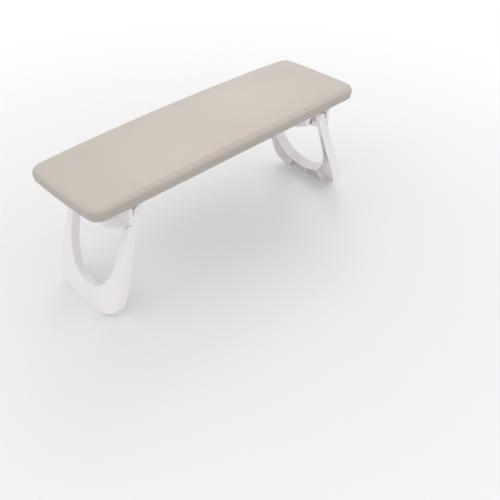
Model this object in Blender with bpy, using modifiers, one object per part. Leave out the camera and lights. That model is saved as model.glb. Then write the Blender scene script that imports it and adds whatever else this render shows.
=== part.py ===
"""Manicure hand rest: a padded board on two fold-in loop legs.

World frame: metres, +Z up, origin on the floor under the middle of the rest. +X runs along the
board, and the left end (-X) is the right end turned half a turn about Z. Everything that belongs
to a leg is modelled in that leg's own frame: its origin is on the hinge axis, +Y is the axis,
+Z runs up the leg and +X points out of the leg's smooth outer face.
"""

import bpy
import bmesh
from math import atan2, cos, pi, radians, sin, sqrt
from mathutils import Matrix, Vector

# Clearances
GAP = 0.0003
HOLE_CLEARANCE = 0.0004

# Padded board
BOARD_LENGTH = 0.380
BOARD_WIDTH = 0.118
UNDERSIDE_HEIGHT = 0.131
CORNER_RADIUS = 0.015
SIDE_HEIGHT = 0.0141
EDGE_ROUND = 0.0042
CROWN = 0.0028
LOWER_EDGE_ROUND = 0.0020
LEATHER_THICKNESS = 0.0010
HEM_WIDTH = 0.014
PANEL_THICKNESS = 0.0040
LINER_THICKNESS = 0.0008
LINER_INSET = 0.009

# Hinge
SPLAY = radians(19.25)
HINGE_INSET = 0.05195
HINGE_DROP = 0.0112
EAR_RADIUS = 0.0047
PIN_RADIUS = 0.0020
PIN_DEPTH_IN_BRACKET = 0.0100
PIN_DEPTH_IN_EAR = 0.0085

# Bracket: insets are from the board's edge, runs from the hinge axis
COVER_PLATE_THICKNESS = 0.0028
COVER_PLATE_INSET = 0.0066
COVER_PLATE_CORNER = 0.006
COVER_BROW_RUN = 0.0114
COVER_BROW_THICKNESS = 0.0045
MOON_RADIUS = 0.0775
MOON_DEPTH = 0.0348
BLOCK_RUN = 0.0147
BLOCK_INSET = 0.0187
BLOCK_DEPTH = 0.0227
BLOCK_CORNER = 0.0012
BLOCK_EDGE_ROUND = 0.003
BLOCK_WALL = 0.0026
CELL_INSET = 0.0140
CELL_COUNT = 3
CELL_RIB = 0.0016
CELL_DEPTH = 0.0150
FLANGE_RUN = 0.0400
FLANGE_INSET = 0.009
FLANGE_THICKNESS = 0.0030
FLANGE_CORNER = 0.006

# Leg: insets are from the board's edge, distances down from the hinge axis
LEG_INSET_TOP = 0.0072
LEG_INSET_FOOT = 0.0031
FOOT_CORNER_DROP = 0.0365
FOOT_TRIM = 0.0009
LEG_FLARE_POWER = 1.8
FOOT_SQUARENESS = 3.1
ARM_WIDTH = 0.0105
LOOP_INSET = 0.0180
LOOP_ROUND_START = 0.0477
FOOT_BAR_HEIGHT = 0.0240
LOOP_SQUARENESS = 2.15
OUTER_TAPER = 0.0018
LOOP_TAPER = 0.0032
FACE_EDGE_ROUND = 0.0020
LOOP_EDGE_ROUND = 0.0012
LEG_WALL = 0.0014
LEG_SKIN = 0.0022
RIB_THICKNESS = 0.0014
RIB_STATIONS = (0.095, 0.24, 0.41, 0.5)
POCKET_STEPS = 10
SHOULDER_CLEARANCE = 0.0004

# Fasteners
FLANGE_SCREW_RUN = 0.0315
FLANGE_SCREW_MARGIN = 0.014
FLANGE_SCREW_COUNT = 4
SCREW_SHANK_RADIUS = 0.0016
SCREW_HEAD_RADIUS = 0.0033
SCREW_HEAD_HEIGHT = 0.0020
END_SCREW_DOWN = 0.0070
END_SCREW_INWARD = 0.0069
END_SCREW_HEAD_RADIUS = 0.0023
END_SCREW_HEAD_HEIGHT = 0.0025
END_SCREW_SHANK_RADIUS = 0.0014
END_SCREW_SHANK_LENGTH = 0.0070
END_RECESS_RADIUS = 0.0037
END_RECESS_DEPTH = 0.0045
END_WASHER_THICKNESS = 0.0008
CROSS_SLOT_WIDTH = 0.0008
CROSS_SLOT_DEPTH = 0.0008

# Shares of screws and pins
SCREW_CROWN_RADIUS = 0.62
SCREW_SHOULDER_RADIUS = 0.90
SCREW_SHOULDER_HEIGHT = 0.72
SCREW_RIM_HEIGHT = 0.35
SCREW_POINT_START = 0.8
CROSS_SLOT_REACH = 0.55
PIN_CHAMFER = 0.2

# Values that follow from the sizes above
HINGE_X = BOARD_LENGTH / 2 - HINGE_INSET
COVER_BROW_X = HINGE_X + COVER_BROW_RUN
BLOCK_INNER_X = HINGE_X - BLOCK_RUN
FLANGE_INNER_X = HINGE_X - FLANGE_RUN
FLANGE_SCREW_X = HINGE_X - FLANGE_SCREW_RUN
COVER_PLATE_HALF_WIDTH = BOARD_WIDTH / 2 - COVER_PLATE_INSET
BLOCK_HALF_WIDTH = BOARD_WIDTH / 2 - BLOCK_INSET
CELL_SPAN = BLOCK_HALF_WIDTH - CELL_INSET
FLANGE_HALF_WIDTH = BOARD_WIDTH / 2 - FLANGE_INSET
FLANGE_SCREW_SPACING = 2 * (FLANGE_HALF_WIDTH - FLANGE_SCREW_MARGIN) / (FLANGE_SCREW_COUNT - 1)
LEG_HALF_WIDTH_TOP = BOARD_WIDTH / 2 - LEG_INSET_TOP
LEG_HALF_WIDTH_FOOT = BOARD_WIDTH / 2 - LEG_INSET_FOOT
LOOP_HALF_WIDTH = BOARD_WIDTH / 2 - LOOP_INSET
PANEL_BOTTOM = UNDERSIDE_HEIGHT + LEATHER_THICKNESS + GAP
PANEL_TOP = PANEL_BOTTOM + PANEL_THICKNESS
LINER_BOTTOM = UNDERSIDE_HEIGHT - GAP - LINER_THICKNESS
FLANGE_TOP = LINER_BOTTOM - GAP
FLANGE_BOTTOM = FLANGE_TOP - FLANGE_THICKNESS
HINGE_HEIGHT = UNDERSIDE_HEIGHT - HINGE_DROP
OUTER_FACE = EAR_RADIUS + GAP + COVER_PLATE_THICKNESS
LEG_THICKNESS = OUTER_FACE + EAR_RADIUS
LEG_LENGTH = (HINGE_HEIGHT + OUTER_FACE * sin(SPLAY)) / cos(SPLAY) + FOOT_TRIM
LEG_FOOT_START = LEG_LENGTH - FOOT_CORNER_DROP
LOOP_HALF_WIDTH_TOP = LEG_HALF_WIDTH_TOP - ARM_WIDTH
PIN_START = BLOCK_HALF_WIDTH - PIN_DEPTH_IN_BRACKET
PIN_END = LOOP_HALF_WIDTH_TOP + PIN_DEPTH_IN_EAR
OVERSHOOT = 0.004

# Steps and shapes of the curves
ARC_STEPS = 14
LOOP_STEPS = 18
CORNER_STEPS = 7
ROUND_STEPS = 4
HEM_ROUND_STEPS = 3
CROWN_STEPS = 6
CROWN_SPACING_POWER = 1.4
CROWN_POWER = 3
SIDE_STEPS = 8
ARM_STEPS = 4
TURN_STEPS = 20
BORE_STEPS = 20
RECESS_STEPS = 28
SHARP_ANGLE = radians(35)
MERGE_DISTANCE = 0.00001
SEAT_OVERLAP = GAP / 2
PLATE_TRIM_DEPTH = MOON_RADIUS / 2

LEATHER = ((0.55, 0.47, 0.40), 0.55, 0.0)
FOAM = ((0.80, 0.76, 0.62), 0.95, 0.0)
PANEL = ((0.45, 0.33, 0.21), 0.80, 0.0)
LINER = ((0.12, 0.12, 0.12), 0.90, 0.0)
PLASTIC = ((0.80, 0.77, 0.80), 0.35, 0.0)
STEEL = ((0.62, 0.62, 0.64), 0.30, 1.0)
RUBBER = ((0.02, 0.02, 0.02), 0.70, 0.0)


def clear_scene():
    for item in list(bpy.data.objects):
        bpy.data.objects.remove(item, do_unlink=True)
    for mesh in list(bpy.data.meshes):
        bpy.data.meshes.remove(mesh)


def new_collection(name):
    collection = bpy.data.collections.new(name)
    bpy.context.scene.collection.children.link(collection)
    return collection


def new_material(name, look):
    colour, roughness, metallic = look
    material = bpy.data.materials.new(name)
    material.use_nodes = True
    shader = material.node_tree.nodes["Principled BSDF"]
    shader.inputs["Base Color"].default_value = (*colour, 1.0)
    shader.inputs["Roughness"].default_value = roughness
    shader.inputs["Metallic"].default_value = metallic
    material.diffuse_color = (*colour, 1.0)
    return material


def add_object(name, mesh, look=None, parent=None):
    """Link a mesh as a visible sub-part, or as a hidden cutter when it has no look."""
    item = bpy.data.objects.new(name, mesh)
    if look is None:
        cutters.objects.link(item)
        item.hide_render = True
        item.display_type = "WIRE"
    else:
        parts.objects.link(item)
        mesh.materials.append(new_material(name, look))
        mesh.shade_smooth()
        mesh.set_sharp_from_angle(angle=SHARP_ANGLE)
    item.parent = parent
    return item


def add_empty(name, location, rotation, parent=None):
    item = bpy.data.objects.new(name, None)
    parts.objects.link(item)
    item.location = location
    item.rotation_euler = rotation
    item.parent = parent
    return item


def combine(item, operation, other):
    modifier = item.modifiers.new(operation.lower() + "_" + other.name, "BOOLEAN")
    modifier.operation = operation
    modifier.solver = "EXACT"
    modifier.object = other


def loft_into(bm, sections, closed_ends=True):
    """Skin closed loops of equal point count, with a face over each end."""
    loops = [[bm.verts.new(point) for point in section] for section in sections]
    count = len(loops[0])
    for lower, upper in zip(loops, loops[1:]):
        for i in range(count):
            j = (i + 1) % count
            bm.faces.new((lower[i], lower[j], upper[j], upper[i]))
    bm.faces.new(loops[-1])
    if closed_ends:
        bm.faces.new(reversed(loops[0]))


def loft_mesh(name, section_groups, closed_ends=True):
    """One mesh from one or more separate lofts."""
    bm = bmesh.new()
    for sections in section_groups:
        loft_into(bm, sections, closed_ends)
    bmesh.ops.recalc_face_normals(bm, faces=bm.faces)
    mesh = bpy.data.meshes.new(name)
    bm.to_mesh(mesh)
    bm.free()
    return mesh


def rounded_rectangle(low, high, radius, z):
    """Loop of points around a rounded rectangle, counter-clockwise seen from above."""
    centres = (
        (high[0] - radius, high[1] - radius, 0.0),
        (low[0] + radius, high[1] - radius, 0.5 * pi),
        (low[0] + radius, low[1] + radius, pi),
        (high[0] - radius, low[1] + radius, 1.5 * pi),
    )
    loop = []
    for x, y, start in centres:
        for step in range(CORNER_STEPS + 1):
            angle = start + 0.5 * pi * step / CORNER_STEPS
            loop.append(Vector((x + radius * cos(angle), y + radius * sin(angle), z)))
    return loop


def board_loop(inset, z):
    """Plan outline of the padded board, drawn in by an inset and set at height z."""
    half_x = BOARD_LENGTH / 2 - inset
    half_y = BOARD_WIDTH / 2 - inset
    radius = max(CORNER_RADIUS - inset, LOWER_EDGE_ROUND)
    return rounded_rectangle((-half_x, -half_y), (half_x, half_y), radius, z)


def crowned_top(inner_offset):
    """Insets and heights over the rounded edge and up the crowned top, drawn in by an offset."""
    top = UNDERSIDE_HEIGHT + SIDE_HEIGHT - inner_offset
    round_radius = EDGE_ROUND - inner_offset
    profile = []
    for step in range(ROUND_STEPS + 1):
        angle = 0.5 * pi * step / ROUND_STEPS
        inset = inner_offset + round_radius * (1 - cos(angle))
        profile.append((inset, top - round_radius + round_radius * sin(angle)))
    start = inner_offset + round_radius
    crown_run = BOARD_WIDTH / 2 - LOWER_EDGE_ROUND - start
    for step in range(1, CROWN_STEPS + 1):
        share = (step / CROWN_STEPS) ** CROWN_SPACING_POWER
        rise = CROWN * (1 - (1 - share) ** CROWN_POWER)
        profile.append((start + crown_run * share, top + rise))
    return profile


def add_leather_cover():
    """Wrapped cover: crowned top, straight sides and a hem turned under the panel."""
    profile = [(HEM_WIDTH, UNDERSIDE_HEIGHT)]
    for step in range(HEM_ROUND_STEPS + 1):
        angle = 0.5 * pi * step / HEM_ROUND_STEPS
        inset = LOWER_EDGE_ROUND * (1 - sin(angle))
        profile.append((inset, UNDERSIDE_HEIGHT + LOWER_EDGE_ROUND * (1 - cos(angle))))
    profile += crowned_top(0.0)
    loops = [board_loop(inset, z) for inset, z in profile]
    mesh = loft_mesh("leather_cover", [loops], closed_ends=False)
    cover = add_object("leather_cover", mesh, LEATHER)
    shell = cover.modifiers.new("thickness", "SOLIDIFY")
    shell.thickness = LEATHER_THICKNESS
    shell.offset = -1.0
    shell.use_even_offset = True


def add_foam_pad():
    offset = LEATHER_THICKNESS + GAP
    loops = [board_loop(offset, PANEL_TOP + GAP)]
    loops += [board_loop(inset, z) for inset, z in crowned_top(offset)]
    add_object("foam_pad", loft_mesh("foam_pad", [loops]), FOAM)


def flange_screw_places():
    """Plan positions of every flange screw, at both ends of the board."""
    places = []
    for end in (1, -1):
        for index in range(FLANGE_SCREW_COUNT):
            y = (index - (FLANGE_SCREW_COUNT - 1) / 2) * FLANGE_SCREW_SPACING
            places.append((end * FLANGE_SCREW_X, y))
    return places


def cylinder_into(bm, radius, start, end, segments=BORE_STEPS):
    """Closed cylinder between two points."""
    start = Vector(start)
    end = Vector(end)
    direction = end - start
    turn = direction.to_track_quat("Z", "Y").to_matrix().to_4x4()
    place = Matrix.Translation((start + end) / 2) @ turn
    bmesh.ops.create_cone(bm, cap_ends=True, segments=segments, radius1=radius, radius2=radius,
                          depth=direction.length, matrix=place)


def box_into(bm, low, high):
    size = [b - a for a, b in zip(low, high)]
    middle = [(a + b) / 2 for a, b in zip(low, high)]
    place = Matrix.Translation(middle) @ Matrix.Diagonal((*size, 1.0))
    bmesh.ops.create_cube(bm, size=1.0, matrix=place)


def mesh_from(name, fill):
    """Mesh made by a function that fills a bmesh."""
    bm = bmesh.new()
    fill(bm)
    mesh = bpy.data.meshes.new(name)
    bm.to_mesh(mesh)
    bm.free()
    return mesh


def screw_hole_cutter():
    def fill(bm):
        radius = SCREW_SHANK_RADIUS + HOLE_CLEARANCE
        for x, y in flange_screw_places():
            cylinder_into(bm, radius, (x, y, FLANGE_BOTTOM - OVERSHOOT), (x, y, PANEL_TOP + SEAT_OVERLAP))
    return add_object("screw_holes", mesh_from("screw_holes", fill))


def add_panel_and_liner(holes):
    """Stiff panel inside the cover, and the sheet that hides the hem underneath."""
    offset = LEATHER_THICKNESS + GAP
    panel_loops = [
        board_loop(offset + LOWER_EDGE_ROUND, PANEL_BOTTOM),
        board_loop(offset, PANEL_BOTTOM + LOWER_EDGE_ROUND),
        board_loop(offset, PANEL_TOP),
    ]
    panel = add_object("base_panel", loft_mesh("base_panel", [panel_loops]), PANEL)
    combine(panel, "DIFFERENCE", holes)
    liner_loops = [
        board_loop(LINER_INSET, LINER_BOTTOM),
        board_loop(LINER_INSET, LINER_BOTTOM + LINER_THICKNESS),
    ]
    liner = add_object("underside_liner", loft_mesh("underside_liner", [liner_loops]), LINER)
    combine(liner, "DIFFERENCE", holes)


def half_moon(half_width, corner, depth, grow, top):
    """Outline as (y, z) about the hinge line: straight sides, round corners and an arc below.

    The arc reaches down by the depth, and grow moves the whole lower edge outwards.
    """
    radius = MOON_RADIUS + grow
    centre = MOON_RADIUS - depth
    corner_y = half_width - corner
    corner_z = centre - sqrt((radius - corner) ** 2 - corner_y ** 2)
    turn = atan2(centre - corner_z, corner_y)
    side = [(half_width, top)]
    for step in range(ROUND_STEPS + 1):
        angle = turn * step / ROUND_STEPS
        side.append((corner_y + corner * cos(angle), corner_z - corner * sin(angle)))
    for step in range(1, ARC_STEPS):
        angle = turn + (0.5 * pi - turn) * step / ARC_STEPS
        side.append((radius * cos(angle), centre - radius * sin(angle)))
    lowest = [(0.0, centre - radius)]
    mirrored = [(-y, z) for y, z in reversed(side)]
    return side + lowest + mirrored


def moon_section(x, outline):
    return [Vector((x, y, z)) for y, z in outline]


def leg_plane_x(outward, height):
    """World x of the plane that lies an outward distance from the hinge, at a height."""
    return HINGE_X + (outward + (HINGE_HEIGHT - height) * sin(SPLAY)) / cos(SPLAY)


def cover_plate_profile():
    """World (x, z) section of the cover plate: upright brow above, leg's slope below."""
    def crossing(x, outward):
        return HINGE_HEIGHT - ((x - HINGE_X) * cos(SPLAY) - outward) / sin(SPLAY)
    inner_face = OUTER_FACE - COVER_PLATE_THICKNESS
    inner_x = COVER_BROW_X - COVER_BROW_THICKNESS
    bottom = HINGE_HEIGHT - MOON_DEPTH - PLATE_TRIM_DEPTH
    return [
        (COVER_BROW_X, FLANGE_BOTTOM + GAP),
        (COVER_BROW_X, crossing(COVER_BROW_X, OUTER_FACE)),
        (leg_plane_x(OUTER_FACE, bottom), bottom),
        (leg_plane_x(inner_face, bottom), bottom),
        (inner_x, crossing(inner_x, inner_face)),
        (inner_x, FLANGE_BOTTOM + GAP),
    ]


def end_screw_place(end):
    """End screw's centre on the block's end face, in the end's frame; end is +1 or -1 along Y."""
    x = HINGE_X - END_SCREW_INWARD
    return Vector((x, end * BLOCK_HALF_WIDTH, HINGE_HEIGHT - END_SCREW_DOWN))


def end_screw_seat(end):
    """Floor of the end screw's recess."""
    return end_screw_place(end) - Vector((0.0, end * END_RECESS_DEPTH, 0.0))


def block_section(x, outline):
    """Section of the block at x, or up to the middle of the cover plate where x is past it."""
    plate_middle = OUTER_FACE - COVER_PLATE_THICKNESS / 2
    brow_middle = COVER_BROW_X - COVER_BROW_THICKNESS / 2
    points = []
    for y, z in outline:
        height = HINGE_HEIGHT + z
        limit = max(leg_plane_x(plate_middle, height), brow_middle)
        points.append(Vector((min(x, limit), y, height)))
    return points


def add_bracket(side, end_frame, hinge_frame, holes):
    """Moulded bracket: screw flange, half-moon block between the ears, cover plate outside them."""
    name = side + "_bracket"
    top = HINGE_DROP + OVERSHOOT

    sections = []
    for step in range(ROUND_STEPS + 1):
        angle = 0.5 * pi * step / ROUND_STEPS
        inset = BLOCK_EDGE_ROUND * (1 - sin(angle))
        x = BLOCK_INNER_X + BLOCK_EDGE_ROUND * (1 - cos(angle))
        outline = half_moon(BLOCK_HALF_WIDTH - inset, BLOCK_CORNER, BLOCK_DEPTH, -inset, top)
        sections.append(block_section(x, outline))
    outline = half_moon(BLOCK_HALF_WIDTH, BLOCK_CORNER, BLOCK_DEPTH, 0.0, top)
    sections.append(block_section(BOARD_LENGTH / 2, outline))
    bracket = add_object(name, loft_mesh(name, [sections]), PLASTIC, end_frame)

    plate_loops = [
        [Vector((x, y, z)) for x, z in cover_plate_profile()]
        for y in (-COVER_PLATE_HALF_WIDTH - OVERSHOOT, COVER_PLATE_HALF_WIDTH + OVERSHOOT)
    ]
    plate_mesh = loft_mesh(side + "_cover_plate", [plate_loops])
    plate = add_object(side + "_cover_plate", plate_mesh, None, end_frame)
    outline = half_moon(COVER_PLATE_HALF_WIDTH, COVER_PLATE_CORNER, MOON_DEPTH, 0.0, top)
    trim_loops = [moon_section(x, outline) for x in (-MOON_DEPTH, MOON_DEPTH)]
    trim_mesh = loft_mesh(side + "_plate_trim", [trim_loops])
    trim = add_object(side + "_plate_trim", trim_mesh, None, hinge_frame)
    combine(plate, "INTERSECT", trim)
    combine(bracket, "UNION", plate)

    def fill_top(bm):
        low = (0.0, -BOARD_WIDTH, FLANGE_BOTTOM + GAP)
        high = (BOARD_LENGTH, BOARD_WIDTH, UNDERSIDE_HEIGHT + HINGE_DROP)
        box_into(bm, low, high)
    above = add_object(side + "_above", mesh_from(side + "_above", fill_top), None, end_frame)
    combine(bracket, "DIFFERENCE", above)

    low = (FLANGE_INNER_X, -FLANGE_HALF_WIDTH)
    high = (COVER_BROW_X, FLANGE_HALF_WIDTH)
    flange_loops = [rounded_rectangle(low, high, FLANGE_CORNER, z) for z in (FLANGE_BOTTOM, FLANGE_TOP)]
    flange_mesh = loft_mesh(side + "_flange", [flange_loops])
    combine(bracket, "UNION", add_object(side + "_flange", flange_mesh, None, end_frame))
    combine(bracket, "DIFFERENCE", holes)

    def fill_hollows(bm):
        width = (2 * CELL_SPAN - (CELL_COUNT - 1) * CELL_RIB) / CELL_COUNT
        for index in range(CELL_COUNT):
            y = -CELL_SPAN + index * (width + CELL_RIB)
            low = (BLOCK_INNER_X + BLOCK_WALL, y, HINGE_HEIGHT - CELL_DEPTH)
            high = (COVER_BROW_X - COVER_BROW_THICKNESS - BLOCK_WALL, y + width, UNDERSIDE_HEIGHT)
            box_into(bm, low, high)
        for end in (1, -1):
            pin_mouth = (HINGE_X, end * (BLOCK_HALF_WIDTH + OVERSHOOT), HINGE_HEIGHT)
            pin_seat = (HINGE_X, end * (PIN_START - GAP), HINGE_HEIGHT)
            cylinder_into(bm, PIN_RADIUS + GAP, pin_mouth, pin_seat)
            outside = end_screw_place(end) + Vector((0.0, end * OVERSHOOT, 0.0))
            cylinder_into(bm, END_RECESS_RADIUS, outside, end_screw_seat(end), segments=RECESS_STEPS)
    hollow_mesh = mesh_from(side + "_hollows", fill_hollows)
    combine(bracket, "DIFFERENCE", add_object(side + "_hollows", hollow_mesh, None, end_frame))

    def fill_bores(bm):
        for end in (1, -1):
            mouth = end_screw_seat(end) + Vector((0.0, end * GAP, 0.0))
            tip = end_screw_seat(end) - Vector((0.0, end * (END_SCREW_SHANK_LENGTH + GAP), 0.0))
            cylinder_into(bm, END_SCREW_SHANK_RADIUS + GAP, mouth, tip)
    bore_mesh = mesh_from(side + "_bores", fill_bores)
    combine(bracket, "DIFFERENCE", add_object(side + "_bores", bore_mesh, None, end_frame))


def outer_curve():
    """Right half of the leg's outer edge, from the hinge line down to the middle of the foot."""
    curve = []
    spread = LEG_HALF_WIDTH_FOOT - LEG_HALF_WIDTH_TOP
    for step in range(SIDE_STEPS + 1):
        share = (step / SIDE_STEPS) ** LEG_FLARE_POWER
        flare = spread * share * share * (3 - 2 * share)
        curve.append((LEG_HALF_WIDTH_TOP + flare, LEG_FOOT_START * step / SIDE_STEPS))
    drop = LEG_LENGTH - LEG_FOOT_START
    for step in range(1, ARC_STEPS + 1):
        angle = 0.5 * pi * step / ARC_STEPS
        y = LEG_HALF_WIDTH_FOOT * max(cos(angle), 0.0) ** (2 / FOOT_SQUARENESS)
        curve.append((y, LEG_FOOT_START + drop * sin(angle) ** (2 / FOOT_SQUARENESS)))
    return curve


def loop_curve():
    """Right half of the leg's opening, from the hinge line down to its lowest point."""
    curve = []
    for step in range(ARM_STEPS + 1):
        down = LOOP_ROUND_START * step / ARM_STEPS
        share = down / LOOP_ROUND_START
        curve.append((LOOP_HALF_WIDTH_TOP + (LOOP_HALF_WIDTH - LOOP_HALF_WIDTH_TOP) * share, down))
    drop = LEG_LENGTH - FOOT_BAR_HEIGHT - LOOP_ROUND_START
    for step in range(1, LOOP_STEPS + 1):
        angle = 0.5 * pi * step / LOOP_STEPS
        y = LOOP_HALF_WIDTH * max(cos(angle), 0.0) ** (2 / LOOP_SQUARENESS)
        curve.append((y, LOOP_ROUND_START + drop * sin(angle) ** (2 / LOOP_SQUARENESS)))
    return curve


def drawn_in(curve, distance):
    """Half curve moved towards the middle of the loop by a distance, ends kept on their lines."""
    moved = []
    last = len(curve) - 1
    for i, (y, down) in enumerate(curve):
        before = curve[max(i - 1, 0)]
        after = curve[min(i + 1, last)]
        run = Vector((after[0] - before[0], after[1] - before[1])).normalized()
        moved.append((y - distance * run.y, down + distance * run.x))
    moved[0] = (moved[0][0], curve[0][1])
    moved[last] = (0.0, curve[last][1] - distance)
    return moved


def mirrored(half):
    return half + [(-y, down) for y, down in reversed(half[:-1])]


def floor_down(x):
    """Distance down the leg at which the floor lies, at a distance x out from the hinge plane."""
    return (HINGE_HEIGHT + x * sin(SPLAY)) / cos(SPLAY)


def taper(x):
    """Share of the leg's taper at x: none at the outer face, all of it at the inner side."""
    return (OUTER_FACE - x) / LEG_THICKNESS


def leg_section(x, outer_round, loop_round):
    """Closed loop of the leg's U at one depth, its arms' ends rounded about the hinge axis."""
    outer = mirrored(drawn_in(outer_curve(), OUTER_TAPER * taper(x) + outer_round))
    loop = mirrored(drawn_in(loop_curve(), -LOOP_TAPER * taper(x) - loop_round))
    ear_top = -sqrt(EAR_RADIUS ** 2 - x ** 2) if abs(x) < EAR_RADIUS else 0.0
    for curve in (outer, loop):
        for end in (0, -1):
            curve[end] = (curve[end][0], ear_top)
    lowest = floor_down(x)
    points = outer + loop[::-1]
    return [Vector((x, y, -min(down, lowest))) for y, down in points]


def along(curve, share):
    """Point at a share of a curve's length."""
    lengths = [0.0]
    for a, b in zip(curve, curve[1:]):
        lengths.append(lengths[-1] + sqrt((b[0] - a[0]) ** 2 + (b[1] - a[1]) ** 2))
    target = share * lengths[-1]
    for i in range(1, len(curve)):
        if lengths[i] >= target or i == len(curve) - 1:
            step = (target - lengths[i - 1]) / (lengths[i] - lengths[i - 1])
            a, b = curve[i - 1], curve[i]
            return (a[0] + (b[0] - a[0]) * step, a[1] + (b[1] - a[1]) * step)


def pocket_cells():
    """Moulded pockets on the leg's inner side, one between each two ribs."""
    outer = mirrored(drawn_in(outer_curve(), OUTER_TAPER + LEG_WALL))
    loop = mirrored(drawn_in(loop_curve(), -LOOP_TAPER - LEG_WALL))
    length = sum((Vector(b) - Vector(a)).length for a, b in zip(outer, outer[1:]))
    half_rib = RIB_THICKNESS / 2 / length
    stations = list(RIB_STATIONS) + [1 - station for station in reversed(RIB_STATIONS[:-1])]
    floor_limit = floor_down(-EAR_RADIUS) - LEG_WALL
    groups = []
    for first, second in zip(stations, stations[1:]):
        start = first + half_rib
        width = second - first - 2 * half_rib
        shares = [start + width * step / POCKET_STEPS for step in range(POCKET_STEPS + 1)]
        outline = [along(outer, share) for share in shares]
        outline += [along(loop, share) for share in reversed(shares)]
        outline = [(y, -min(down, floor_limit)) for y, down in outline]
        depths = (-EAR_RADIUS - OVERSHOOT, OUTER_FACE - LEG_SKIN)
        groups.append([moon_section(x, outline) for x in depths])
    return groups


def add_leg(side, hinge_frame):
    """Moulded loop leg: smooth outside, ribbed pockets inside, two ears on the hinge pins."""
    name = side + "_leg"
    ear_steps = [-EAR_RADIUS * cos(pi * step / SIDE_STEPS) for step in range(SIDE_STEPS + 1)]
    sections = [leg_section(x, 0.0, 0.0) for x in ear_steps]
    for step in range(ROUND_STEPS + 1):
        angle = 0.5 * pi * step / ROUND_STEPS
        x = OUTER_FACE - FACE_EDGE_ROUND * (1 - sin(angle))
        share = 1 - cos(angle)
        sections.append(leg_section(x, FACE_EDGE_ROUND * share, LOOP_EDGE_ROUND * share))
    leg = add_object(name, loft_mesh(name, [sections]), PLASTIC, hinge_frame)

    half_width = COVER_PLATE_HALF_WIDTH + SHOULDER_CLEARANCE
    corner = COVER_PLATE_CORNER + SHOULDER_CLEARANCE
    outline = half_moon(half_width, corner, MOON_DEPTH, SHOULDER_CLEARANCE, EAR_RADIUS + OVERSHOOT)
    recess_loops = [moon_section(x, outline) for x in (EAR_RADIUS, OUTER_FACE + OVERSHOOT)]
    recess_mesh = loft_mesh(side + "_recess", [recess_loops])
    combine(leg, "DIFFERENCE", add_object(side + "_recess", recess_mesh, None, hinge_frame))

    def fill_pockets(bm):
        for sections in pocket_cells():
            loft_into(bm, sections)
        bmesh.ops.recalc_face_normals(bm, faces=bm.faces)
        for end in (1, -1):
            start = (0.0, end * (LOOP_HALF_WIDTH_TOP - OVERSHOOT), 0.0)
            cylinder_into(bm, PIN_RADIUS + GAP, start, (0.0, end * (PIN_END + GAP), 0.0))
    pocket_mesh = mesh_from(side + "_pockets", fill_pockets)
    combine(leg, "DIFFERENCE", add_object(side + "_pockets", pocket_mesh, None, hinge_frame))


def turned(name, profile, look, parent, place):
    """Solid of revolution about the object's own Z, from (radius, z) points listed top to bottom."""
    mesh = bpy.data.meshes.new(name)
    points = [(radius, 0.0, z) for radius, z in profile]
    mesh.from_pydata(points, [(i, i + 1) for i in range(len(points) - 1)], [])
    item = add_object(name, mesh, look, parent)
    item.matrix_local = place
    spin = item.modifiers.new("turn", "SCREW")
    spin.steps = TURN_STEPS
    spin.render_steps = TURN_STEPS
    spin.use_merge_vertices = True
    spin.merge_threshold = MERGE_DISTANCE
    return item


def screw_profile(head_radius, head_height, shank_radius, shank_length):
    """Pan head above z = 0 and a pointed shank below it."""
    return [
        (0.0, head_height),
        (head_radius * SCREW_CROWN_RADIUS, head_height),
        (head_radius * SCREW_SHOULDER_RADIUS, head_height * SCREW_SHOULDER_HEIGHT),
        (head_radius, head_height * SCREW_RIM_HEIGHT),
        (head_radius, 0.0),
        (shank_radius, 0.0),
        (shank_radius, -shank_length * SCREW_POINT_START),
        (0.0, -shank_length),
    ]


def cut_cross_slot(screw, head_radius, head_height, parent, place):
    """Cross recess in the top of a screw's head."""
    def fill(bm):
        half = CROSS_SLOT_WIDTH / 2
        reach = head_radius * CROSS_SLOT_REACH
        bottom = head_height - CROSS_SLOT_DEPTH
        outline = [
            (half, half), (half, reach), (-half, reach), (-half, half), (-reach, half), (-reach, -half),
            (-half, -half), (-half, -reach), (half, -reach), (half, -half), (reach, -half), (reach, half),
        ]
        loft_into(bm, [[Vector((x, y, z)) for x, y in outline] for z in (bottom, head_height + OVERSHOOT)])
        bmesh.ops.recalc_face_normals(bm, faces=bm.faces)
    cutter = add_object(screw.name + "_cross", mesh_from(screw.name + "_cross", fill), None, parent)
    cutter.matrix_local = place
    combine(screw, "DIFFERENCE", cutter)


def add_flange_screws(side, end_frame):
    length = PANEL_TOP - GAP - (FLANGE_BOTTOM - GAP)
    profile = screw_profile(SCREW_HEAD_RADIUS, SCREW_HEAD_HEIGHT, SCREW_SHANK_RADIUS, length)
    right_end_places = flange_screw_places()[:FLANGE_SCREW_COUNT]
    for index, (x, y) in enumerate(right_end_places, start=1):
        name = "{}_flange_screw_{}".format(side, index)
        place = Matrix.Translation((x, y, FLANGE_BOTTOM - GAP)) @ Matrix.Rotation(pi, 4, "X")
        screw = turned(name, profile, STEEL, end_frame, place)
        cut_cross_slot(screw, SCREW_HEAD_RADIUS, SCREW_HEAD_HEIGHT, end_frame, place)


def add_hinge_pins(side, hinge_frame):
    chamfer = PIN_RADIUS * PIN_CHAMFER
    length = PIN_END - PIN_START
    profile = [
        (0.0, length / 2),
        (PIN_RADIUS - chamfer, length / 2),
        (PIN_RADIUS, length / 2 - chamfer),
        (PIN_RADIUS, chamfer - length / 2),
        (PIN_RADIUS - chamfer, -length / 2),
        (0.0, -length / 2),
    ]
    for position, end in end_names(side):
        middle = Matrix.Translation((0.0, end * (PIN_START + length / 2), 0.0))
        place = middle @ Matrix.Rotation(0.5 * pi, 4, "X")
        turned("{}_hinge_pin_{}".format(side, position), profile, STEEL, hinge_frame, place)


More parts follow.
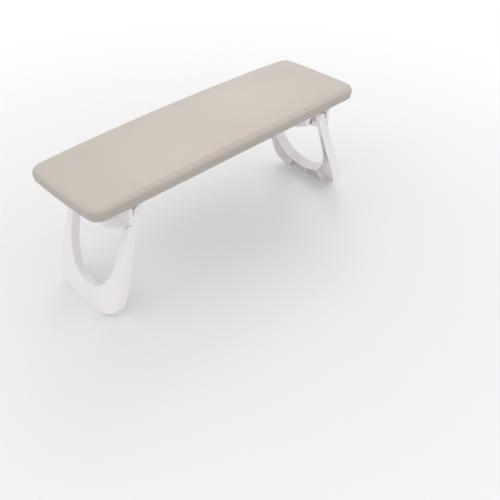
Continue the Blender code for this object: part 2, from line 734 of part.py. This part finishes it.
def end_names(side):
    """Front is -Y in the world, which is +Y in the left end's own frame."""
    front = -1 if side == "right" else 1
    return (("front", front), ("back", -front))


def add_end_screws(side, end_frame):
    """Recessed screw and dark washer in each end face of the bracket's block."""
    washer_bottom = -END_RECESS_DEPTH + GAP
    head_bottom = washer_bottom + END_WASHER_THICKNESS + GAP
    inner_radius = END_SCREW_SHANK_RADIUS + GAP
    washer_radius = END_RECESS_RADIUS - GAP
    ring = [
        (inner_radius, END_WASHER_THICKNESS),
        (washer_radius, END_WASHER_THICKNESS),
        (washer_radius, 0.0),
        (inner_radius, 0.0),
        (inner_radius, END_WASHER_THICKNESS),
    ]
    shank_length = END_SCREW_SHANK_LENGTH + END_WASHER_THICKNESS
    profile = screw_profile(END_SCREW_HEAD_RADIUS, END_SCREW_HEAD_HEIGHT, END_SCREW_SHANK_RADIUS,
                            shank_length)
    for position, end in end_names(side):
        outwards = Matrix.Rotation(-end * 0.5 * pi, 4, "X")
        face = Matrix.Translation(end_screw_place(end)) @ outwards
        head_place = face @ Matrix.Translation((0.0, 0.0, head_bottom))
        screw_name = "{}_end_screw_{}".format(side, position)
        screw = turned(screw_name, profile, STEEL, end_frame, head_place)
        cut_cross_slot(screw, END_SCREW_HEAD_RADIUS, END_SCREW_HEAD_HEIGHT, end_frame, head_place)
        washer_name = "{}_end_washer_{}".format(side, position)
        washer_place = face @ Matrix.Translation((0.0, 0.0, washer_bottom))
        turned(washer_name, ring, RUBBER, end_frame, washer_place)


clear_scene()
parts = new_collection("manicure_hand_rest")
cutters = new_collection("cutters")
add_leather_cover()
add_foam_pad()
screw_holes = screw_hole_cutter()
add_panel_and_liner(screw_holes)
for side_name, half_turns in (("right", 0), ("left", 1)):
    end_empty = add_empty(side_name + "_end", (0.0, 0.0, 0.0), (0.0, 0.0, half_turns * pi))
    hinge_place = (HINGE_X, 0.0, HINGE_HEIGHT)
    hinge_empty = add_empty(side_name + "_hinge", hinge_place, (0.0, -SPLAY, 0.0), end_empty)
    add_bracket(side_name, end_empty, hinge_empty, screw_holes)
    add_leg(side_name, hinge_empty)
    add_flange_screws(side_name, end_empty)
    add_hinge_pins(side_name, hinge_empty)
    add_end_screws(side_name, end_empty)
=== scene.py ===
"""Looks of the manicure hand rest: padded leatherette board on two white fold-in loop legs.

World frame, metres, +Z up, origin on the floor under the middle of the rest, +X along the board.
The board's cushion is modelled here around the stiff panel; every other piece keeps its solid
and gets its finish.
"""

from math import cos, exp, pi, radians, sin

import bmesh
import bpy
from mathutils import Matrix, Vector, noise


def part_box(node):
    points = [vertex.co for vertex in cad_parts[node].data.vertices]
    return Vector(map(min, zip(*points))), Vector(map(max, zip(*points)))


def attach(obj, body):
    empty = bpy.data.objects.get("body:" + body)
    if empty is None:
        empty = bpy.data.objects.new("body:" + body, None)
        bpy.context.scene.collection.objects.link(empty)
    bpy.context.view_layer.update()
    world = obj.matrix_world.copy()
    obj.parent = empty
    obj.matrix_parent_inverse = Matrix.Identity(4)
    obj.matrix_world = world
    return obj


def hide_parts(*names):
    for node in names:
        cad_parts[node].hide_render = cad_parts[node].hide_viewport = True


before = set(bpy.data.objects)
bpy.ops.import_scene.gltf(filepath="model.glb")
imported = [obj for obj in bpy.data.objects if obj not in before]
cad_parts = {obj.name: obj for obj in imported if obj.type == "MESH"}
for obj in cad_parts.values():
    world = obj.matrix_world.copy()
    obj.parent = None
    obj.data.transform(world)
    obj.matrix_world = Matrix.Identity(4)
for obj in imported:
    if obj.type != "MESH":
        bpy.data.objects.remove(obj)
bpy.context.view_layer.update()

# Camera, at the photograph's viewpoint
CAMERA_PLACE = (-0.43274, -0.50560, 0.49791)
CAMERA_PITCH = radians(51.156)
CAMERA_YAW = radians(-44.630)
CAMERA_LENS = 47.893
CAMERA_SENSOR = 36.0

# Cushion's size and edges; its box and the panel's top come from the frame
COVER_LOW, COVER_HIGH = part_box("leather_cover")
PANEL_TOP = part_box("base_panel")[1].z
HALF_LENGTH = COVER_HIGH.x
HALF_WIDTH = COVER_HIGH.y
UNDERSIDE = COVER_LOW.z
CROWN = 0.0028
CROWN_FLATNESS = 4
SIDE_TOP = COVER_HIGH.z - CROWN
CORNER_RADIUS = 0.0135
SMALLEST_CORNER_RADIUS = 0.0015
TOP_ROUND = 0.0060
LOWER_ROUND = 0.0040

# Hem under the edge and hollow around the panel
HEM_WIDTH = 0.014
HEM_SHARES = (1.0, 0.75, 0.5)
LEATHER_THICKNESS = 0.0010
PANEL_CHAMFER = 0.0020
PANEL_CLEARANCE = 0.0003
SEAT_SHARES = (0.96, 0.5)

# Soft shape of the sides: bulge, crease at the panel and pleats round the corners
SIDE_BULGE = 0.00045
CREASE_HEIGHT = PANEL_TOP - 0.0004
CREASE_HALF_HEIGHT = 0.0011
CREASE_DEPTH = 0.00040
PLEAT_DEPTH = 0.00030
PLEAT_HEIGHT = 0.003
PLEAT_FADE = 0.006
PLEATS_PER_CORNER = 7

# Soft shape of the top: rise along the back, swollen ends, raised right end, faint undulation.
# Each START is the share of the half length or half width where that rise begins
BACK_LIFT = 0.0040
BACK_PUSH = 0.0026
BACK_PEAK_X = 0.025
BACK_RUN = 0.212
BACK_START = -0.3
END_SWELL = 0.0022
END_SWELL_START = 0.85
RIGHT_END_LIFT = 0.0014
RIGHT_END_START = 0.6
UNDULATION = 0.00016
UNDULATION_SIZE = 0.055
UNDULATION_SLICE = 0.31

# Mesh steps of the cushion, round its plan, up its side and over its top
CORNER_STEPS = 18
LONG_STEPS = 76
SHORT_STEPS = 24
LOWER_ROUND_STEPS = 6
SIDE_STEPS = 12
TOP_ROUND_STEPS = 8
TOP_RINGS = 26

# Colours, linear. Painted shade: the cushion's side is darker up to just under its top edge
LEATHER_LIGHT = (0.612, 0.545, 0.484)
LEATHER_DARK = (0.578, 0.511, 0.450)
SIDE_PAINTED_SHADE = 0.78
SIDE_PAINTED_SHADE_LOW = SIDE_TOP - 0.0045
SIDE_PAINTED_SHADE_HIGH = SIDE_TOP - 0.0010
PLASTIC_LIGHT = (0.915, 0.882, 0.906)
PLASTIC_DARK = (0.892, 0.860, 0.884)
LINER_DARK = (0.014, 0.014, 0.015)
LINER_LIGHT = (0.045, 0.045, 0.047)
BOARD_DARK = (0.28, 0.18, 0.10)
BOARD_LIGHT = (0.46, 0.33, 0.20)
STEEL_COLOUR = (0.60, 0.60, 0.62)
STEEL_PATCH_LIGHTER = 1.15
# Painted shade: the washers' black stands in for the shade inside the screw recesses
WASHER_PAINTED_SHADE_COLOUR = (0.018, 0.018, 0.018)
RUBBER_BLOOM_LIGHTER = 2.2

# Floor, which fades to white from one distance to the other
FLOOR_SIZE = 12.0
FLOOR_DROP = 0.0002
FLOOR_COLOUR = (0.95, 0.95, 0.95)
FLOOR_FADE_START = 0.22
FLOOR_FADE_END = 0.80

# Light: mostly the even surroundings, with two lamps aimed at the middle of the rest
WORLD_STRENGTH = 0.88
LAMP_TARGET = (0.0, 0.0, 0.1)
KEY_LAMP_PLACE = (-2.9, 0.5, 2.3)
KEY_LAMP_SIZE = 1.4
KEY_LAMP_POWER = 3.0
BACK_LAMP_PLACE = (1.4, 1.4, 1.7)
BACK_LAMP_SIZE = 1.0
BACK_LAMP_POWER = 5.5


def node_graph(name):
    """New node material, with its node tree and its Principled shader."""
    material = bpy.data.materials.new(name)
    material.use_nodes = True
    tree = material.node_tree
    return material, tree, tree.nodes["Principled BSDF"]


def add_node(tree, kind, **settings):
    node = tree.nodes.new(kind)
    for name, value in settings.items():
        setattr(node, name, value)
    return node


def object_coordinates(tree):
    return add_node(tree, "ShaderNodeTexCoord").outputs["Object"]


def noise_texture(tree, coordinates, scale, detail=2.0, roughness=0.5):
    texture = add_node(tree, "ShaderNodeTexNoise")
    texture.inputs["Scale"].default_value = scale
    texture.inputs["Detail"].default_value = detail
    texture.inputs["Roughness"].default_value = roughness
    tree.links.new(coordinates, texture.inputs["Vector"])
    return texture.outputs["Fac"]


def colour_ramp(tree, factor, stops):
    """Colour ramp over (position, linear colour) stops."""
    ramp = add_node(tree, "ShaderNodeValToRGB")
    elements = ramp.color_ramp.elements
    while len(elements) < len(stops):
        elements.new(0.5)
    for element, (position, colour) in zip(elements, stops):
        element.position = position
        element.color = (*colour, 1.0)
    tree.links.new(factor, ramp.inputs["Fac"])
    return ramp.outputs["Color"]


def value_range(tree, factor, low, high, start=0.0, end=1.0):
    """Map the factor's span from start to end onto low to high."""
    span = add_node(tree, "ShaderNodeMapRange")
    span.inputs["From Min"].default_value = start
    span.inputs["From Max"].default_value = end
    span.inputs["To Min"].default_value = low
    span.inputs["To Max"].default_value = high
    tree.links.new(factor, span.inputs["Value"])
    return span.outputs["Result"]


def bump(tree, height, distance, strength=1.0, under=None):
    node = add_node(tree, "ShaderNodeBump")
    node.inputs["Distance"].default_value = distance
    node.inputs["Strength"].default_value = strength
    tree.links.new(height, node.inputs["Height"])
    if under is not None:
        tree.links.new(under, node.inputs["Normal"])
    return node.outputs["Normal"]


def leatherette():
    """Fine-grained wipe-clean leatherette: pebbled cells, soft sheen, slight variation, painted shade
    darkening the side.
    """
    material, tree, shader = node_graph("greige_leatherette")
    place = object_coordinates(tree)
    shade = noise_texture(tree, place, scale=9.0, detail=3.0)
    colour = colour_ramp(tree, shade, ((0.30, LEATHER_DARK), (0.70, LEATHER_LIGHT)))
    # Painted shade: the colour darkens by height over the side, up to just under its top edge
    axes = add_node(tree, "ShaderNodeSeparateXYZ")
    tree.links.new(place, axes.inputs["Vector"])
    side_painted_shade = value_range(tree, axes.outputs["Z"], low=SIDE_PAINTED_SHADE, high=1.0,
                       start=SIDE_PAINTED_SHADE_LOW, end=SIDE_PAINTED_SHADE_HIGH)
    darker = add_node(tree, "ShaderNodeVectorMath", operation="SCALE")
    tree.links.new(colour, darker.inputs[0])
    tree.links.new(side_painted_shade, darker.inputs["Scale"])
    tree.links.new(darker.outputs["Vector"], shader.inputs["Base Color"])
    cells = add_node(tree, "ShaderNodeTexVoronoi", feature="SMOOTH_F1")
    cells.inputs["Scale"].default_value = 950.0
    cells.inputs["Smoothness"].default_value = 0.6
    tree.links.new(place, cells.inputs["Vector"])
    creases = noise_texture(tree, place, scale=420.0, detail=3.0, roughness=0.6)
    grain = bump(tree, cells.outputs["Distance"], distance=0.00008, strength=0.55)
    surface = bump(tree, creases, distance=0.00005, strength=0.5, under=grain)
    tree.links.new(surface, shader.inputs["Normal"])
    gloss = noise_texture(tree, place, scale=60.0)
    tree.links.new(value_range(tree, gloss, low=0.46, high=0.54), shader.inputs["Roughness"])
    shader.inputs["Specular IOR Level"].default_value = 0.50
    shader.inputs["Coat Weight"].default_value = 0.20
    shader.inputs["Coat Roughness"].default_value = 0.30
    shader.inputs["Sheen Weight"].default_value = 0.08
    shader.inputs["Sheen Roughness"].default_value = 0.45
    return material


def moulded_plastic():
    """Satin white moulding: fine spark-eroded texture and very slight flow shading."""
    material, tree, shader = node_graph("white_moulded_plastic")
    place = object_coordinates(tree)
    flow = noise_texture(tree, place, scale=14.0)
    tree.links.new(colour_ramp(tree, flow, ((0.30, PLASTIC_DARK), (0.70, PLASTIC_LIGHT))),
                   shader.inputs["Base Color"])
    texture = noise_texture(tree, place, scale=1500.0, roughness=0.6)
    tree.links.new(bump(tree, texture, distance=0.00003, strength=0.45), shader.inputs["Normal"])
    gloss = noise_texture(tree, place, scale=90.0)
    tree.links.new(value_range(tree, gloss, low=0.36, high=0.44), shader.inputs["Roughness"])
    shader.inputs["Specular IOR Level"].default_value = 0.45
    shader.inputs["Subsurface Weight"].default_value = 0.30
    shader.inputs["Subsurface Scale"].default_value = 0.003
    shader.inputs["Subsurface Radius"].default_value = (1.0, 0.70, 0.80)
    return material


def turned_steel():
    """Bright zinc-plated steel with fine turning marks and dull patches."""
    material, tree, shader = node_graph("plated_steel")
    place = object_coordinates(tree)
    patches = noise_texture(tree, place, scale=350.0, detail=3.0)
    light = tuple(channel * STEEL_PATCH_LIGHTER for channel in STEEL_COLOUR)
    tree.links.new(colour_ramp(tree, patches, ((0.35, STEEL_COLOUR), (0.65, light))),
                   shader.inputs["Base Color"])
    marks = noise_texture(tree, place, scale=2600.0, detail=1.0)
    tree.links.new(bump(tree, marks, distance=0.00002, strength=0.4), shader.inputs["Normal"])
    tree.links.new(value_range(tree, patches, low=0.24, high=0.38), shader.inputs["Roughness"])
    shader.inputs["Metallic"].default_value = 1.0
    return material


def black_rubber():
    """Black rubber washer, its black painted shade for the dark inside of the screw's recess, with a
    faint dusty bloom.
    """
    material, tree, shader = node_graph("black_rubber")
    place = object_coordinates(tree)
    bloom = noise_texture(tree, place, scale=500.0, detail=3.0)
    pale = tuple(channel * RUBBER_BLOOM_LIGHTER for channel in WASHER_PAINTED_SHADE_COLOUR)
    tree.links.new(colour_ramp(tree, bloom, ((0.4, WASHER_PAINTED_SHADE_COLOUR), (0.7, pale))),
                   shader.inputs["Base Color"])
    tree.links.new(bump(tree, bloom, distance=0.00004, strength=0.5), shader.inputs["Normal"])
    tree.links.new(value_range(tree, bloom, low=0.60, high=0.75), shader.inputs["Roughness"])
    return material


def lining_fabric():
    """Black non-woven lining: matted fibres pressed flat in a small dimple grid."""
    material, tree, shader = node_graph("non_woven_lining")
    place = object_coordinates(tree)
    fibres = noise_texture(tree, place, scale=900.0, detail=5.0, roughness=0.75)
    tree.links.new(colour_ramp(tree, fibres, ((0.35, LINER_DARK), (0.68, LINER_LIGHT))),
                   shader.inputs["Base Color"])
    dimples = add_node(tree, "ShaderNodeTexVoronoi", feature="F1")
    dimples.inputs["Scale"].default_value = 620.0
    dimples.inputs["Randomness"].default_value = 0.12
    tree.links.new(place, dimples.inputs["Vector"])
    pressed = bump(tree, dimples.outputs["Distance"], distance=0.00015, strength=0.6)
    surface = bump(tree, fibres, distance=0.0001, strength=0.5, under=pressed)
    tree.links.new(surface, shader.inputs["Normal"])
    tree.links.new(value_range(tree, fibres, low=0.85, high=0.97), shader.inputs["Roughness"])
    return material


def fibreboard():
    """Brown pressed fibre of the stiff panel."""
    material, tree, shader = node_graph("fibreboard")
    place = object_coordinates(tree)
    fibres = noise_texture(tree, place, scale=600.0, detail=5.0, roughness=0.7)
    tree.links.new(colour_ramp(tree, fibres, ((0.35, BOARD_DARK), (0.65, BOARD_LIGHT))),
                   shader.inputs["Base Color"])
    tree.links.new(bump(tree, fibres, distance=0.0001, strength=0.5), shader.inputs["Normal"])
    tree.links.new(value_range(tree, fibres, low=0.78, high=0.92), shader.inputs["Roughness"])
    return material


def plan_loop(inset):
    """Points counter-clockwise around the rounded plan, each with its outward direction.

    The third value is the share of the way round a corner, and None on a straight side.
    """
    half_x = HALF_LENGTH - inset
    half_y = HALF_WIDTH - inset
    radius = max(CORNER_RADIUS - inset, SMALLEST_CORNER_RADIUS)
    run_x = half_x - radius
    run_y = half_y - radius
    corners = ((run_x, run_y, 0.0), (-run_x, run_y, 0.5 * pi),
               (-run_x, -run_y, pi), (run_x, -run_y, 1.5 * pi))
    sides = (LONG_STEPS, SHORT_STEPS, LONG_STEPS, SHORT_STEPS)
    points = []
    for index, (x, y, start) in enumerate(corners):
        for step in range(CORNER_STEPS + 1):
            angle = start + 0.5 * pi * step / CORNER_STEPS
            outward = Vector((cos(angle), sin(angle)))
            points.append((Vector((x, y)) + radius * outward, outward, step / CORNER_STEPS))
        end, outward, _ = points[-1]
        next_x, next_y, next_start = corners[(index + 1) % 4]
        goal = Vector((next_x, next_y)) + radius * Vector((cos(next_start), sin(next_start)))
        for step in range(1, sides[index]):
            points.append((end.lerp(goal, step / sides[index]), outward, None))
    return points


def smooth_step(value):
    value = min(max(value, 0.0), 1.0)
    return value * value * (3 - 2 * value)


def rise_from(start, share):
    """Smooth rise from 0 where the share is start to 1 where it is 1, at the edge."""
    return smooth_step((share - start) / (1 - start))


def crown_height(x, y):
    """Rise of the padded top above its edge."""
    along = 1 - (abs(x) / HALF_LENGTH) ** CROWN_FLATNESS
    across = 1 - (abs(y) / HALF_WIDTH) ** CROWN_FLATNESS
    return CROWN * along * across


def back_share(x, y):
    """Share of the back's soft rise, fullest near the middle of the back edge."""
    along = max(1 - ((x - BACK_PEAK_X) / BACK_RUN) ** 2, 0.0)
    return along * rise_from(BACK_START, y / HALF_WIDTH)


def end_swell(x, y):
    """Outward swell of both short ends, fullest at their middle."""
    return END_SWELL * rise_from(END_SWELL_START, abs(x) / HALF_LENGTH) * (1 - (y / HALF_WIDTH) ** 2)


def right_end_lift(x, y):
    """Slight rise of the foam towards the front corner of the right end."""
    frontward = 1 - rise_from(BACK_START, y / HALF_WIDTH)
    return RIGHT_END_LIFT * frontward * rise_from(RIGHT_END_START, x / HALF_LENGTH)


def undulation(x, y):
    """Faint unevenness of the foam under the leather."""
    return UNDULATION * noise.noise(Vector((x, y, UNDULATION_SLICE)) / UNDULATION_SIZE)


def side_profile():
    """Insets and heights from the hem's inner edge, round the lower edge and up to the top edge."""
    profile = [(HEM_WIDTH * share, UNDERSIDE) for share in HEM_SHARES]
    for step in range(LOWER_ROUND_STEPS + 1):
        angle = 0.5 * pi * step / LOWER_ROUND_STEPS
        inset = LOWER_ROUND * (1 - sin(angle))
        profile.append((inset, UNDERSIDE + LOWER_ROUND * (1 - cos(angle))))
    start = UNDERSIDE + LOWER_ROUND
    end = SIDE_TOP - TOP_ROUND
    for step in range(1, SIDE_STEPS):
        profile.append((0.0, start + (end - start) * step / SIDE_STEPS))
    for step in range(TOP_ROUND_STEPS + 1):
        angle = 0.5 * pi * step / TOP_ROUND_STEPS
        inset = TOP_ROUND * (1 - cos(angle))
        profile.append((inset, end + TOP_ROUND * sin(angle)))
    return profile


def shaped_point(flat, outward, corner_share, height, on_top):
    """Plan point moved by the bulge, crease and pleats of the side, the rises and the crown."""
    x, y = flat
    foot = UNDERSIDE + LOWER_ROUND
    up_side = min(max((height - foot) / (SIDE_TOP - foot), 0), 1)
    push = 0.0
    if not on_top:
        push += SIDE_BULGE * sin(pi * up_side)
        from_crease = (height - CREASE_HEIGHT) / CREASE_HALF_HEIGHT
        push -= CREASE_DEPTH * exp(-from_crease * from_crease)
        if corner_share is not None:
            low = 1 - smooth_step((height - UNDERSIDE - PLEAT_HEIGHT) / PLEAT_FADE)
            wave = sin(2 * pi * PLEATS_PER_CORNER * corner_share)
            push -= PLEAT_DEPTH * low * max(wave, 0.0) * sin(pi * corner_share)
    share = back_share(x, y)
    z = height + (BACK_LIFT * share + right_end_lift(x, y)) * up_side
    swell = end_swell(x, y)
    x += outward.x * push + (swell if x > 0 else -swell)
    y += outward.y * push + BACK_PUSH * share * up_side
    if height > SIDE_TOP - TOP_ROUND:
        z += crown_height(*flat) + undulation(*flat) * up_side
    return Vector((x, y, z))


def cushion_loops():
    """Loops from over the panel's middle, down its edge, round the hem and over to the top's middle."""
    loops = []
    seat_top = PANEL_TOP + PANEL_CLEARANCE
    seat_bottom = UNDERSIDE + LEATHER_THICKNESS
    wall = LEATHER_THICKNESS
    seat = [(HALF_WIDTH * share, seat_top) for share in SEAT_SHARES]
    seat += [(wall, seat_top), (wall, seat_bottom + PANEL_CHAMFER),
             (wall + PANEL_CHAMFER, seat_bottom), (HEM_WIDTH, seat_bottom)]
    for inset, height in seat:
        loops.append([Vector((p.x, p.y, height)) for p, _, _ in plan_loop(inset)])
    for inset, height in side_profile():
        loops.append([shaped_point(p, outward, share, height, False)
                      for p, outward, share in plan_loop(inset)])
    rim = plan_loop(TOP_ROUND)
    # The last ring stays half a step short of the middle, where one face closes the top
    for ring in range(1, TOP_RINGS + 1):
        scale = 1 - ring / (TOP_RINGS + 0.5)
        loops.append([shaped_point(p * scale, outward, None, SIDE_TOP, True)
                      for p, outward, _ in rim])
    return loops


def make_cushion():
    """Foam and leather cover as one closed body that wraps the stiff panel."""
    bm = bmesh.new()
    loops = [[bm.verts.new(point) for point in loop] for loop in cushion_loops()]
    count = len(loops[0])
    for inner, outer in zip(loops, loops[1:]):
        for i in range(count):
            j = (i + 1) % count
            bm.faces.new((inner[i], inner[j], outer[j], outer[i]))
    bm.faces.new(reversed(loops[0]))
    bm.faces.new(loops[-1])
    bmesh.ops.recalc_face_normals(bm, faces=bm.faces)
    mesh = bpy.data.meshes.new("cushion")
    bm.to_mesh(mesh)
    bm.free()
    mesh.shade_smooth()
    cushion = bpy.data.objects.new("cushion", mesh)
    bpy.context.scene.collection.objects.link(cushion)
    mesh.materials.append(leatherette())
    return cushion


def finish_nodes():
    """Procedural finish for every solid that stays visible."""
    plastic = moulded_plastic()
    steel = turned_steel()
    washer_shade_finish = black_rubber()
    lining = lining_fabric()
    board = fibreboard()
    for name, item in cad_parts.items():
        if name.endswith(("_bracket", "_leg")):
            finish = plastic
        # Washers: black as painted shade for the screw recesses
        elif "washer" in name:
            finish = washer_shade_finish
        elif "screw" in name or "pin" in name:
            finish = steel
        elif name == "underside_liner":
            finish = lining
        elif name == "base_panel":
            finish = board
        else:
            continue  # hidden: the cushion replaces it
        for slot in item.material_slots:
            slot.material = finish


def seen_by_eye(tree):
    """1 for rays of the camera, a reflection or a refraction, 0 for light that falls on surfaces."""
    path = add_node(tree, "ShaderNodeLightPath")
    total = path.outputs["Is Camera Ray"]
    for name in ("Is Glossy Ray", "Is Transmission Ray"):
        larger = add_node(tree, "ShaderNodeMath", operation="MAXIMUM")
        tree.links.new(total, larger.inputs[0])
        tree.links.new(path.outputs[name], larger.inputs[1])
        total = larger.outputs[0]
    return total


def make_floor():
    """Plain pale floor that keeps the rest's soft shadow and fades to white further out."""
    bpy.ops.mesh.primitive_plane_add(size=FLOOR_SIZE, location=(0.0, 0.0, -FLOOR_DROP))
    floor = bpy.context.object
    floor.name = "floor"
    material, tree, shader = node_graph("pale_floor")
    shader.inputs["Base Color"].default_value = (*FLOOR_COLOUR, 1.0)
    shader.inputs["Roughness"].default_value = 0.9
    shader.inputs["Specular IOR Level"].default_value = 0.1
    distance = add_node(tree, "ShaderNodeVectorMath", operation="LENGTH")
    tree.links.new(object_coordinates(tree), distance.inputs[0])
    fade = add_node(tree, "ShaderNodeMapRange", interpolation_type="SMOOTHSTEP")
    fade.inputs["From Min"].default_value = FLOOR_FADE_START
    fade.inputs["From Max"].default_value = FLOOR_FADE_END
    tree.links.new(distance.outputs["Value"], fade.inputs["Value"])
    share = add_node(tree, "ShaderNodeMath", operation="MULTIPLY")
    tree.links.new(fade.outputs["Result"], share.inputs[0])
    tree.links.new(seen_by_eye(tree), share.inputs[1])
    glow = add_node(tree, "ShaderNodeEmission")
    mix = add_node(tree, "ShaderNodeMixShader")
    tree.links.new(share.outputs[0], mix.inputs["Fac"])
    tree.links.new(shader.outputs["BSDF"], mix.inputs[1])
    tree.links.new(glow.outputs["Emission"], mix.inputs[2])
    tree.links.new(mix.outputs["Shader"], tree.nodes["Material Output"].inputs["Surface"])
    floor.data.materials.append(material)


def area_light(name, place, size, power):
    """Round lamp, aimed at the middle of the rest."""
    data = bpy.data.lights.new(name, "AREA")
    data.shape = "DISK"
    data.size = size
    data.energy = power
    light = bpy.data.objects.new(name, data)
    light.location = place
    aim = Vector(LAMP_TARGET) - Vector(place)
    light.rotation_euler = aim.to_track_quat("-Z", "Y").to_euler()
    bpy.context.scene.collection.objects.link(light)


def make_studio():
    """Soft white studio: even surroundings, a faint lamp to the left and one high behind."""
    scene = bpy.context.scene
    scene.view_settings.view_transform = "Standard"
    world = bpy.data.worlds.new("studio")
    scene.world = world
    world.use_nodes = True
    tree = world.node_tree
    background = tree.nodes["Background"]
    background.inputs["Color"].default_value = (1.0, 1.0, 1.0, 1.0)
    tree.links.new(value_range(tree, seen_by_eye(tree), WORLD_STRENGTH, 1.0),
                   background.inputs["Strength"])
    area_light("key", KEY_LAMP_PLACE, KEY_LAMP_SIZE, KEY_LAMP_POWER)
    area_light("back", BACK_LAMP_PLACE, BACK_LAMP_SIZE, BACK_LAMP_POWER)


def make_camera():
    data = bpy.data.cameras.new("camera")
    data.lens = CAMERA_LENS
    data.sensor_width = CAMERA_SENSOR
    camera = bpy.data.objects.new("camera", data)
    camera.location = CAMERA_PLACE
    camera.rotation_euler = (CAMERA_PITCH, 0.0, CAMERA_YAW)
    bpy.context.scene.collection.objects.link(camera)
    bpy.context.scene.camera = camera


make_camera()
make_studio()
make_floor()
finish_nodes()

cushion = make_cushion()
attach(cushion, "board")
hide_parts("leather_cover", "foam_pad")
